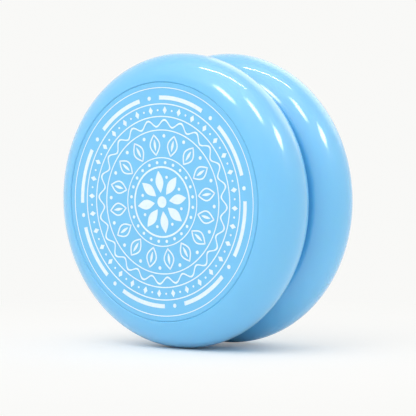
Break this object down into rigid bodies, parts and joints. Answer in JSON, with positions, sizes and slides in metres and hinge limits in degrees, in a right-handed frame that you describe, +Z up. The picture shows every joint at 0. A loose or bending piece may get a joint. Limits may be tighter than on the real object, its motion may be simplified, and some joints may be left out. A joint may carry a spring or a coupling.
{
  "type": "ball-bearing yo-yo",
  "caption": "Round-rimmed plastic yo-yo whose hollow halves, with printed snap-in caps, screw onto a threaded axle that carries a ball bearing in the string gap.",
  "frame": {"origin": "centre of the bearing, on the yo-yo's axis, midway between the two halves", "axes": "+Y along the yo-yo's axis towards the rear half, +Z up, as the yo-yo stands on its two rims"},
  "size_m": [0.057, 0.0274, 0.057],
  "materials": {
    "shell_plastic": "gloss",
    "cap_plastic": "gloss",
    "silicone": "matte",
    "zinc_steel": "satin",
    "black_steel": "satin",
    "turned_aluminium": "satin",
    "bearing_steel": "polished",
    "ball_chrome": "polished",
    "cage_brass": "satin"
  },
  "bodies": {
    "front_half": {"front_shell": "shell_plastic", "front_cap": "cap_plastic", "front_nut": "zinc_steel", "front_spacer": "turned_aluminium", "front_response_pad": "silicone", "axle": "black_steel", "bearing_inner_race": "bearing_steel"},
    "bearing_outer": {"bearing_outer_race": "bearing_steel", "front_bearing_shield": "bearing_steel", "rear_bearing_shield": "bearing_steel", "front_bearing_clip": "bearing_steel", "rear_bearing_clip": "bearing_steel"},
    "ball_set": {"bearing_cage": "cage_brass", "bearing_ball_01": "ball_chrome", "bearing_ball_02": "ball_chrome", "bearing_ball_03": "ball_chrome", "bearing_ball_04": "ball_chrome", "bearing_ball_05": "ball_chrome", "bearing_ball_06": "ball_chrome", "bearing_ball_07": "ball_chrome", "bearing_ball_08": "ball_chrome", "bearing_ball_09": "ball_chrome", "bearing_ball_10": "ball_chrome"},
    "rear_seat": {"rear_spacer": "turned_aluminium"},
    "rear_half": {"rear_shell": "shell_plastic", "rear_cap": "cap_plastic", "rear_nut": "zinc_steel", "rear_response_pad": "silicone"}
  },
  "joints": [
    {"name": "bearing_spin", "type": "hinge", "parent": "front_half", "child": "bearing_outer", "pos_m": [0, 0, 0], "axis": [0, 1, 0], "continuous": true},
    {"name": "ball_orbit", "type": "hinge", "parent": "front_half", "child": "ball_set", "pos_m": [0, 0, 0], "axis": [0, 1, 0], "continuous": true},
    {"name": "half_travel", "type": "slide", "parent": "front_half", "child": "rear_seat", "axis": [0, 1, 0], "range_m": [0, 0.0042]},
    {"name": "half_turn", "type": "hinge", "parent": "rear_seat", "child": "rear_half", "pos_m": [0, 0, 0], "axis": [0, 1, 0], "range_deg": [0, 2160]}
  ],
  "couplings": [
    {"joint": "ball_orbit", "follows": "bearing_spin", "ratio": 0.58333},
    {"joint": "half_travel", "follows": "half_turn", "m_per_rad": 0.0001114}
  ]
}
